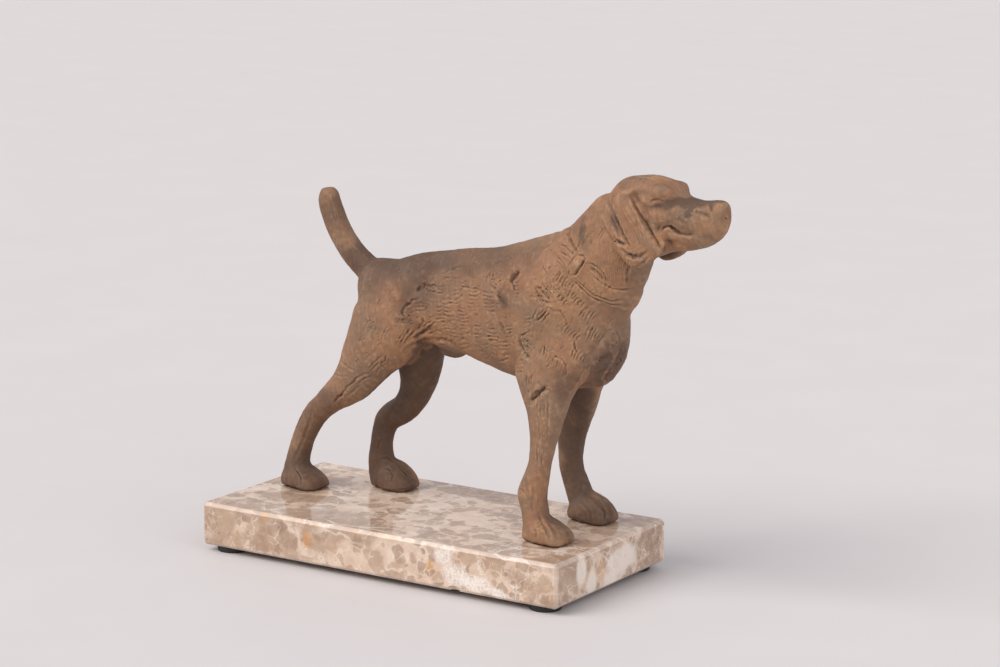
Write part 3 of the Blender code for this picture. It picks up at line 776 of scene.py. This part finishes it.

# %% [markdown]
# ## Where the brush went, and painted shade
# The stain isn't even: greyer and darker on the brow and the bridge of the nose, warmer and lighter
# on the jaw, the shoulder and the belly. The back is laid darker along its length. Painted shade
# darkens the lower hind leg, the breast, the underside of the belly, the folds of the ear and the
# hollows of hip and elbow, and the far legs seen between the near ones, which the near body keeps
# from the light. Ovals laid on the tracing say how much, with edges that a slow wave has pushed
# about. Weight painting by hand would do the same.

# %% Paint the stain's weight and the painted shade
STAIN_AND_SHADE_PATCHES = (
    # centre, radii, how much darker (or lighter, under 0), turn
    ((121.5, 166), (6.4, 2.2), 0.5, 12),
    ((134, 160.8), (6, 2.4), 0.6, 8),
    ((143, 163), (16, 1.8), 0.9, 2),
    ((148.1, 160.4), (1.6, 2), 0.7, 0),
    ((145, 157), (3.4, 1.3), 0.7, -14),
    ((135, 156.4), (5, 2.4), 0.35, 10),
    ((120.2, 158.1), (5, 3), -0.5, 0),
    ((105, 169), (12, 4), 0.25, 0),
    ((119, 150), (9, 6), -0.4, 0),
    ((148, 152), (12, 5), -0.35, 0),
    ((129, 142), (14, 4), -0.9, -4),
    # painted shade in the fold between ear and cheek
    ((115, 148.6), (1.2, 9), 0.6, 39),
    ((83, 152), (12, 10), 0.12, 35),
    # painted shade in the crease behind the ear's roll, and painted shadows over the lobe
    ((97.4, 147.2), (2.6, 8), 0.8, 32),
    ((101, 138.6), (4, 2), 0.6, 0),
    ((108, 134.2), (6, 1.8), 1.0, 0),
    # darker along the back and the rump
    ((10, 124), (80, 9), 0.3, 6),
    ((-8, 112), (24, 12), 0.25, 4),
    ((-44, 110), (16, 18), 0.38, 0),
    # painted shade in the gouge at the elbow
    ((54.9, 62.4), (5.8, 1.5), 1.0, 44),
    # painted shade in the pitted hollows of the shoulder blade, the ribs, the hip and behind the
    # elbow
    ((60, 118), (13, 9), 0.2, 0),
    ((58, 109), (8, 5), 0.4, 0),
    ((34, 105), (3, 5), 0.5, 0),
    ((-17, 97), (12, 8), 0.35, 20),
    ((-24, 87), (8, 3), 0.4, 0),
    ((47, 83), (4, 8), 0.6, 0),
    # lighter on the lower flank, the shoulder, the front leg, the neck and the thigh
    ((16, 82), (34, 9), -0.45, -6),
    ((10, 94), (16, 8), -0.25, 0),
    ((70, 94), (17, 18), -0.5, 0),
    ((57, 62), (9, 24), -0.4, 0),
    ((56, 24), (8, 30), -0.3, 0),
    ((92, 127), (18, 18), -0.85, 0),
    ((80, 122), (6, 6), -0.3, -40),
    ((-40, 82), (17, 22), -0.3, 0),
    # painted shade on the near hind shin, which faces away from the window
    ((-82, 28), (13, 20), 0.6, 0),
    # darker on the near front paw
    ((62, -4), (14, 6), 0.3, 0),
    # painted shade on the near hind hock and paw
    ((-70, 42), (9, 7), 0.5, -40),
    ((-88, 0), (24, 16), 0.75, 0),
    # painted shade on the breast, which faces away from the window, and under the belly
    ((99, 82), (10, 17), 0.55, -35),
    ((6, 75), (9, 4), 0.6, 0),
    # darker on the tail
    ((-72, 142), (22, 12), 0.28, -50),
)
# painted shade on the far legs and the far side of the head, which the near body keeps from the
# light
FAR_SIDE_SHADE = (
    ((-12, 60), (40, 36), 0.9, 0),
    ((-36, 22), (22, 30), 0.9, 0),
    ((-28, 2), (22, 12), 0.6, 0),
    ((77, 55), (12, 40), 1.3, 4),
    ((82, 14), (22, 22), 0.75, 0),
    ((112, 136), (20, 8), 0.9, 0),
)
RAGGED = 1.1
figure = Figure(dog.data)
wander = RAGGED * np.stack([waves(figure.points, 5, 16, 8) for _ in range(2)], axis=1)
# one value per point for the stain and the painted shade, lighter under 0
stain_and_shade = np.zeros(len(figure.points))
for tracing, _, far_side in figure.views.values():
    near_side = far_side == 0
    for tones, side in ((STAIN_AND_SHADE_PATCHES, near_side), (FAR_SIDE_SHADE, far_side)):
        for centre, radii, amount, turn in tones:
            c, s = heading(turn)
            offset = (tracing + wander - np.array(centre)) @ np.array(((c, -s), (s, c)))
            stain_and_shade += amount * side * np.clip(1.25 - ((offset / radii) ** 2).sum(axis=1), 0, 1)
store(dog.data, "stain_and_shade", stain_and_shade)

# %% [markdown]
# ## Tools for finishes
# Colours are given as the hex values a painter would pick, and Blender wants them linear. A finish
# is built up as paint is: a ground, and then one thin colour after another, each laid where some
# value lies between two limits. One small function adds any node, sets it and links it, and a
# pattern's scale is worked out from the size of its features in millimetres.

# %% Helpers for materials
def linear(hex_colour):
    """An sRGB hex colour as linear red, green, blue and alpha."""
    parts = [int(hex_colour[i : i + 2], 16) / 255 for i in (1, 3, 5)]
    return (*(c / 12.92 if c <= 0.04045 else ((c + 0.055) / 1.055) ** 2.4 for c in parts), 1.0)


def sized(where, size, **more):
    """The inputs of a texture at some coordinates, with features of a size in millimetres."""
    return {"Vector": where, "Scale": 1000 / size, **more}


class Finish:
    """A material in the making: its shader, its nodes and Object coordinates."""

    def __init__(self, name, shader_values):
        self.material = bpy.data.materials.new(name)
        self.material.use_nodes = True
        self.tree = self.material.node_tree
        self.shader = self.tree.nodes["Principled BSDF"]
        self.fill(self.shader, shader_values)
        self.place = self.add("TexCoord", {}, "Object")

    def fill(self, node, inputs):
        """Gives inputs, by name or in order, a value, a hex colour or another node's socket."""
        for name, value in inputs.items() if isinstance(inputs, dict) else enumerate(inputs):
            if isinstance(value, bpy.types.NodeSocket):
                self.tree.links.new(value, node.inputs[name])
            else:
                is_hex = isinstance(value, str)
                node.inputs[name].default_value = linear(value) if is_hex else value

    def add(self, kind, inputs, output=0, **settings):
        """Adds a node with its settings and inputs, and gives back one of its sockets."""
        made = self.tree.nodes.new("ShaderNode" + kind)
        for name, value in settings.items():
            setattr(made, name, value)
        self.fill(made, inputs)
        return made.outputs[output]

    def mask(self, *shares):
        """The product of shares from 0 to 1. Each is a number, a socket, or a value with the
        limits that it rises between and, where they aren't 1 and 0, the most and the least."""
        product = None
        for share in shares:
            if isinstance(share, tuple):
                value, low, high, most, least = share + (1.0, 0.0)[len(share) - 3 :]
                ramp = (value, low, high, least, most)
                share = self.add("MapRange", ramp, interpolation_type="SMOOTHSTEP")
            if product is None:
                product = share
            else:
                product = self.add("Math", (product, share), operation="MULTIPLY")
        return product

    def lay(self, ground, colour, *shares):
        """The ground with a colour laid over it, as thick as the mask of the shares says."""
        inputs = {0: self.mask(*shares), 6: ground, 7: colour}
        return self.add("Mix", inputs, 2, data_type="RGBA")


# %% [markdown]
# ## Stained matt ceramic
# Fired clay without a glaze scatters light almost evenly: rough, with a faint sheen where hands
# and cloth have rubbed it. The stain drifts between an olive brown and an orange brown in patches
# 10 to 30 mm across and is darker or lighter where the brush went. Painted shade is laid in the
# same way, from the ovals, in the hollows and in the cuts, nearly black in the deepest. Ridges are
# worn pale, but less so where the stain and the painted shade lie thick. Drawing it from noise
# and the three stored attributes suits any viewing side.

# %% Finish the dog
clay = Finish("stained matt ceramic", {"IOR": 1.5})
patches, drift, mottle, grit = (
    clay.add("TexNoise", sized(clay.place, size, Detail=detail, Roughness=rough))
    for size, detail, rough in ((26, 3, 0.55), (9, 4, 0.6), (2.2, 3, 0.6), (0.7, 2, 0.6))
)
furrow, hollow, stain_and_shade = (
    clay.add("Attribute", {}, "Fac", attribute_name=name) for name in ("furrow", "hollow", "stain_and_shade")
)
# pale worn ridges, darker where the stain and the painted shade lie thick
worn = clay.lay("#B58E6B", "#735643", (stain_and_shade, 0, 1, 0.9))
STAIN_AND_SHADE_LAYERS = (
    # colour, and the value, limits and thickness that it is laid by
    ("#715648", (drift, 0.5, 0.72, 0.55)),
    # darker from the ovals: stain and painted shade; then the lighter, warmer stain
    ("#503A2D", (stain_and_shade, 0, 1, 0.9)),
    ("#9A6E4B", (stain_and_shade, 0, -1, 0.7)),
    # stain and painted shade in the hollows between muscles
    ("#50372A", (hollow, 0.04, 0.7, 0.5)),
    # stain and painted shade in the cuts, nearly black in the deepest
    ("#35241A", (furrow, 0.06, 0.9, 0.8)),
    (worn, (furrow, -0.06, -0.5, 0.5)),
    ("#5C483B", (mottle, 0.4, 0.7, 0.3)),
)
colour = clay.lay("#80644D", "#8F674A", (patches, 0.4, 0.62))
for layer_colour, share in STAIN_AND_SHADE_LAYERS:
    colour = clay.lay(colour, layer_colour, share)
rub = clay.mask((drift, 0.3, 0.7, 0.82, 0.62))
lengthwise = {"Rotation": (0, math.radians(12), 0), "Scale": (0.3, 1, 1)}
combed = clay.add("Mapping", {"Vector": clay.place, **lengthwise})
fibre = clay.add("TexNoise", sized(combed, 1.5, Detail=3, Roughness=0.65))
skin = mottle
for pattern, share in ((grit, 0.4), (fibre, 0.9)):
    skin = clay.add("Math", (pattern, share, skin), operation="MULTIPLY_ADD")
relief = clay.add("Bump", {"Strength": 0.7, "Distance": 0.4 * MM, "Height": skin})
clay.fill(clay.shader, {"Base Color": colour, "Roughness": rub, "Normal": relief})
dog.data.materials.clear()
dog.data.materials.append(clay.material)
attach(dog, "root")
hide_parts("dog")
print("ceramic:", len(clay.tree.nodes), "nodes")

# %% [markdown]
# ## The marble slab
# A sawn tile with flat chamfers along its edges. The solid's box is right, and the real one also
# has a chip broken from its lower front edge. It is modelled from a cube: the chamfers are a one
# step bevel with a finer one over it, and a rough lump is cut away with a Boolean, which leaves
# the shell-shaped scar of a blow. Weighted normals keep the big faces flat.

# %% Model the slab and its chip
ARRIS = 1.5 * MM
ARRIS_ROUNDING = 0.22 * MM
CHIP_AT = Vector((slab_top.x + 44.5 * MM, slab_low.y, slab_low.z))
CHIP_RADII = (3.4 * MM, 3.6 * MM, 2.7 * MM)
slab_size = slab_high - slab_low
bpy.ops.mesh.primitive_cube_add(size=1, location=(slab_low + slab_high) / 2)
slab = bpy.context.object
slab.name = "marble_slab"
slab.scale = slab_size
bpy.ops.object.transform_apply(location=True, rotation=True, scale=True)
apply_modifier(slab, "BEVEL", width=ARRIS, segments=1, limit_method="ANGLE")
apply_modifier(slab, "BEVEL", width=ARRIS_ROUNDING, segments=2, limit_method="ANGLE")
bpy.ops.mesh.primitive_ico_sphere_add(subdivisions=3, radius=1, location=(0, 0, 0))
lump = bpy.context.object
lump.scale = CHIP_RADII
lump.location = CHIP_AT + Vector((0, -0.1 * MM, 0.1 * MM))
bpy.ops.object.transform_apply(location=True, rotation=True, scale=True)
bpy.ops.object.mode_set(mode="EDIT")
bpy.ops.mesh.select_all(action="SELECT")
bpy.ops.transform.vertex_random(offset=0.35 * MM, seed=3)
bpy.ops.object.mode_set(mode="OBJECT")
apply_modifier(slab, "BOOLEAN", object=lump, operation="DIFFERENCE", solver="EXACT")
bpy.data.objects.remove(lump)
select_only(slab)
bpy.ops.object.shade_smooth_by_angle(angle=math.radians(35))
apply_modifier(slab, "WEIGHTED_NORMAL", keep_sharp=True, weight=100)
is_arris = [max(abs(c) for c in face.normal) <= 0.999 for face in slab.data.polygons]
store(slab.data, "arris", is_arris, "FACE")
print("slab:", [round(c / MM, 1) for c in slab_size], "mm,", len(slab.data.polygons), "faces")

# %% [markdown]
# ## Polished brecciated marble
# Breccia is broken rock cemented by a later one: taupe fragments with cloudy edges in a pinkish
# cream ground, and pebbles with a thin pale rim. Voronoi cells on bent coordinates make the
# fragments, and their random colours say which cells are rock. On the top face the fragments are
# laid darker, and the whole face a touch paler, than on the sides. An image of a real slab would
# be quicker, but it would stretch over the edges, where a pattern in space runs through the stone.

# %% Tools for stone patterns
marble = Finish("polished brecciated marble", {"IOR": 1.49})
wide_bend, small_bend, cloud, tint, fine, gravel, rust = (
    marble.add("TexNoise", sized(marble.place, size, Detail=detail, Roughness=rough))
    for size, detail, rough in (
        (14, 4, 0.6), (3.2, 4, 0.6), (8, 5, 0.65), (30, 3, 0.6), (1.1, 4, 0.7), (20, 4, 0.6),
        (16, 4, 0.6),
    )
)


def bent(amount, stretch=1.0):
    """Object coordinates pushed about by two noises, in millimetres, and drawn out along X."""
    where = marble.place
    for noise, share in ((wide_bend, 1.0), (small_bend, 0.3)):
        swirl = (noise.node.outputs["Color"], (0.5, 0.5, 0.5))
        push = marble.add("VectorMath", swirl, operation="SUBTRACT")
        push = marble.add("VectorMath", (push, (amount * share * MM,) * 3), operation="MULTIPLY")
        where = marble.add("VectorMath", (where, push), operation="ADD")
    return marble.add("VectorMath", (where, (1 / stretch, 1.0, 1.0)), operation="MULTIPLY")


def spot(x, y, z, *radii):
    """A ball with a ragged edge, in millimetres from the slab's middle and up from the floor."""
    middle = (slab_top.x + x * MM, slab_top.y + y * MM, z * MM)
    away = marble.add("VectorMath", (bent(5), middle), operation="SUBTRACT")
    shrink = tuple(1 / (radius * MM) for radius in radii)
    away = marble.add("VectorMath", (away, shrink), operation="MULTIPLY")
    return marble.add("VectorMath", (away,), "Value", operation="LENGTH"), 1.0, 0.55


def random_parts(colour):
    """Two random numbers out of a cell's random colour."""
    return [marble.add("SeparateColor", (colour,), part) for part in ("Red", "Green")]


# %% Lay the ground and the fragments
haze = (cloud, 0.35, 0.65)
height = marble.add("SeparateXYZ", (marble.place,), "Z")
on_top = (height, slab_top.z - 0.4 * MM, slab_top.z - 0.1 * MM)
colour = marble.lay("#CBB19C", "#DBC9B9", haze)
colour = marble.lay(colour, "#C4A68D", (tint, 0.4, 0.65, 0.4))
FRAGMENTS = (
    # fragment size, bend, stretch, edge softness, share left out, darkest, lightest, strength
    (26, 16, 1.6, 0.12, 0.58, "#957964", "#B0947D", 0.85),
    (11, 9, 1.2, 0.09, 0.62, "#937662", "#B59982", 0.8),
    (5, 5, 1.0, 0.10, 0.62, "#8F725E", "#B5967C", 0.75),
)
for size, bend, stretch, soft, rare, dark, light, strength in FRAGMENTS:
    cells = sized(bent(bend, stretch), size)
    edge = marble.add("TexVoronoi", cells, feature="DISTANCE_TO_EDGE")
    pick, shade = random_parts(marble.add("TexVoronoi", cells, "Color"))
    rock = marble.lay(dark, light, shade)
    rock = marble.lay(rock, "#D9C6B4", haze, 0.25)
    # fragments laid darker on the top face
    rock = marble.lay(rock, "#7E5F4A", on_top, 0.4)
    colour = marble.lay(colour, rock, (pick, rare, rare + 0.03), (edge, 0, soft, strength))
distance = marble.add("TexVoronoi", sized(bent(6), 3.8))
pick, shade = random_parts(distance.node.outputs["Color"])
pebble = marble.lay("#8C705D", "#BC9C83", shade)
among = ((pick, 0.66, 0.69), (gravel, 0.48, 0.56))
colour = marble.lay(colour, "#EADFD4", (distance, 0.58, 0.40, 0.2), *among)
colour = marble.lay(colour, pebble, (distance, 0.42, 0.34, 0.75), *among)
colour = marble.lay(colour, "#CF9D6C", (rust, 0.60, 0.74, 0.5))
print("marble so far:", len(marble.tree.nodes), "nodes")

# %% [markdown]
# ## Stains, veins and polish
# Over the fragments lie the marks of iron and lime: three ochre stains and a chalky patch on the
# front, cream patches and an ochre streak on the end, and a net of fine white veins. Each spot is
# a ragged ball in space, placed where the real one is. The chamfers were honed, not polished, so
# they are duller and a little paler, and their paleness is also a painted highlight along the
# edges. Bump gives only the pits of the polish, a tenth of a millimetre deep.

# %% Stain, vein and polish the stone
FRONT, HEAD_END = -49.5, 100
chalk = (fine, 0.42, 0.6, 0.85, 0.35)
SPOTS = (
    # colour, thickness, then the centres and radii in millimetres
    ("#C9945C", 0.6, (-37.8, FRONT, 15.6, 3.4, 6, 5), (31.8, FRONT, 13.5, 3, 6, 3.8)),
    ("#C9945C", 0.6, (-62.3, FRONT, 21.7, 2.4, 6, 2.8)),
    ("#EDE6E0", chalk, (46, FRONT, 11, 9, 6, 7), (57, FRONT, 9, 11, 6, 5)),
    ("#EDE6E0", chalk, (39, FRONT, 19, 6, 6, 5), (68, FRONT, 6, 8, 6, 3)),
    ("#EBE0D6", 0.7, (HEAD_END, -28, 17, 8, 5, 9), (HEAD_END, -19, 8, 8, 6, 9)),
    ("#EBE0D6", 0.7, (HEAD_END, 8, 14, 8, 17, 8), (HEAD_END, -2, 6, 8, 8, 5)),
    ("#D9A878", 0.45, (HEAD_END, -10, 12, 8, 2.6, 9)),
)
for layer_colour, thickness, *places in SPOTS:
    for place in places:
        colour = marble.lay(colour, layer_colour, spot(*place), thickness)
VEINS = (
    # cell size, bend, stretch, width as a share of the cell
    (17, 12, 1.4, 0.02),
    (6, 6, 1.0, 0.035),
    (26, 8, 4.0, 0.03),
)
for size, bend, stretch, thin in VEINS:
    cells = sized(bent(bend, stretch), size)
    edge = marble.add("TexVoronoi", cells, feature="DISTANCE_TO_EDGE")
    field = marble.add("TexNoise", sized(marble.place, 1.3 * size, Detail=2, Roughness=0.6))
    colour = marble.lay(colour, "#E8DDD2", (edge, thin, 0, 0.6), (field, 0.47, 0.6))
colour = marble.lay(colour, "#A08772", (fine, 0.58, 0.78, 0.3))
# the chamfers: honed and rougher, and painted paler as a highlight along the edges
honed_and_highlight = marble.add("Attribute", {}, "Fac", attribute_name="arris")
colour = marble.lay(colour, "#F0E4DA", honed_and_highlight, 0.2)
# the top face a touch paler
colour = marble.lay(colour, "#EFE2D4", on_top, 0.06)
rough = marble.mask((honed_and_highlight, 0, 1, 0.3, 0.09))
pits = {"Strength": 0.3, "Distance": 0.1 * MM, "Height": marble.mask((fine, 0.70, 0.78))}
relief = marble.add("Bump", pits, invert=True)
marble.fill(marble.shader, {"Base Color": colour, "Roughness": rough, "Normal": relief})
slab.data.materials.append(marble.material)
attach(slab, "root")
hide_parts("marble_base")
print("marble:", len(marble.tree.nodes), "nodes")

# %% [markdown]
# ## The rubber feet
# Stick-on bumpers: short cylinders of black rubber with a rounded lower rim and a shallow dish
# where they meet the table. One is modelled and the others are copies with meshes of their own.

# %% Model one foot
rubber = Finish("black moulded rubber", {"Roughness": 0.6, "IOR": 1.52})
dust = rubber.add("TexNoise", sized(rubber.place, 1.5, Detail=4))
colour = rubber.lay("#141414", "#3A3835", (dust, 0.45, 0.8, 0.5))
relief = rubber.add("Bump", {"Strength": 0.3, "Distance": 0.1 * MM, "Height": dust})
rubber.fill(rubber.shader, {"Base Color": colour, "Normal": relief})
foot_nodes = [node for node in sorted(frame["nodes"]) if node.startswith("rubber_foot")]
low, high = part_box(foot_nodes[0])
first_place = (low + high) / 2
bpy.ops.object.select_all(action="DESELECT")
bpy.ops.mesh.primitive_cylinder_add(
    vertices=56, radius=(high.x - low.x) / 2, depth=high.z - low.z, location=first_place
)
foot = bpy.context.object
bpy.ops.object.transform_apply(location=True, rotation=True, scale=True)
bpy.ops.object.mode_set(mode="EDIT")
bpy.ops.mesh.select_mode(type="FACE")
bpy.ops.mesh.select_all(action="DESELECT")
bpy.ops.object.mode_set(mode="OBJECT")
for face in foot.data.polygons:
    face.select = face.normal.z < -0.9
bpy.ops.object.mode_set(mode="EDIT")
bpy.ops.mesh.inset(thickness=1.6 * MM)
bpy.ops.mesh.inset(thickness=0.8 * MM, depth=-0.4 * MM)
bpy.ops.object.mode_set(mode="OBJECT")
rim = {"width": 0.55 * MM, "segments": 4, "angle_limit": math.radians(60)}
apply_modifier(foot, "BEVEL", limit_method="ANGLE", **rim)
bpy.ops.object.shade_smooth_by_angle(angle=math.radians(40))
foot.data.materials.append(rubber.material)
print("foot:", [round(c / MM, 2) for c in foot.dimensions], "mm")

# %% Copy it under each corner
feet = [foot]
for _ in foot_nodes[1:]:
    select_only(foot)
    bpy.ops.object.duplicate()
    feet.append(bpy.context.object)
for node, bumper in zip(foot_nodes, feet):
    low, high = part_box(node)
    select_only(bumper)
    bumper.location = (low + high) / 2 - first_place
    bpy.ops.object.transform_apply(location=True, rotation=True, scale=True)
    bumper.name = node.replace("rubber_foot", "bumper")
    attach(bumper, "root")
    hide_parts(node)
print("feet:", [bumper.name for bumper in feet])

# %% [markdown]
# ## Floor and light
# A plain pale floor catches the shadow. The key is a large soft window, high over the camera's
# left shoulder, so that the flank, the slab's front and the back are lit and the inner sides of
# the legs stay dark. A weaker reflector on the right opens the slab's end face and the muzzle, and
# the world fills in with a cool grey. Sun lamps give the same light wherever the camera goes.

# %% Lay the floor and hang the lights
paint = Finish("pale floor", {"Roughness": 0.55})
grain = paint.add("TexNoise", sized(paint.place, 60, Detail=2))
paint.fill(paint.shader, {"Base Color": paint.lay("#CDCACB", "#D2CFD0", grain)})
bpy.ops.mesh.primitive_plane_add(size=8, location=(0, 0, 0))
floor = bpy.context.object
floor.name = "floor"
floor.data.materials.append(paint.material)


def soft_light(name, toward, angle, strength, tint):
    """Light from far off, soft as from a window that spans the angle in degrees."""
    bpy.ops.object.light_add(type="SUN")
    lamp = bpy.context.object
    lamp.name = name
    lamp.data.angle = math.radians(angle)
    lamp.data.energy = strength
    lamp.data.color = linear(tint)[:3]
    lamp.rotation_euler = Vector(toward).to_track_quat("Z", "Y").to_euler()


soft_light("window", (-1.1, -1.5, 1.8), 44, 2.4, "#FFFAF4")
soft_light("reflector", (1.6, -0.3, 0.7), 60, 0.95, "#FFFFFF")
world = bpy.data.worlds.new("studio")
bpy.context.scene.world = world
world.use_nodes = True
world.node_tree.nodes["Background"].inputs["Color"].default_value = linear("#E9E6EA")
world.node_tree.nodes["Background"].inputs["Strength"].default_value = 0.7
bpy.context.scene.view_settings.view_transform = "Standard"

# %% [markdown]
# ## The end
# The dressed model has to stay inside the imported solids' box, give or take a small share.

# %% End
import json
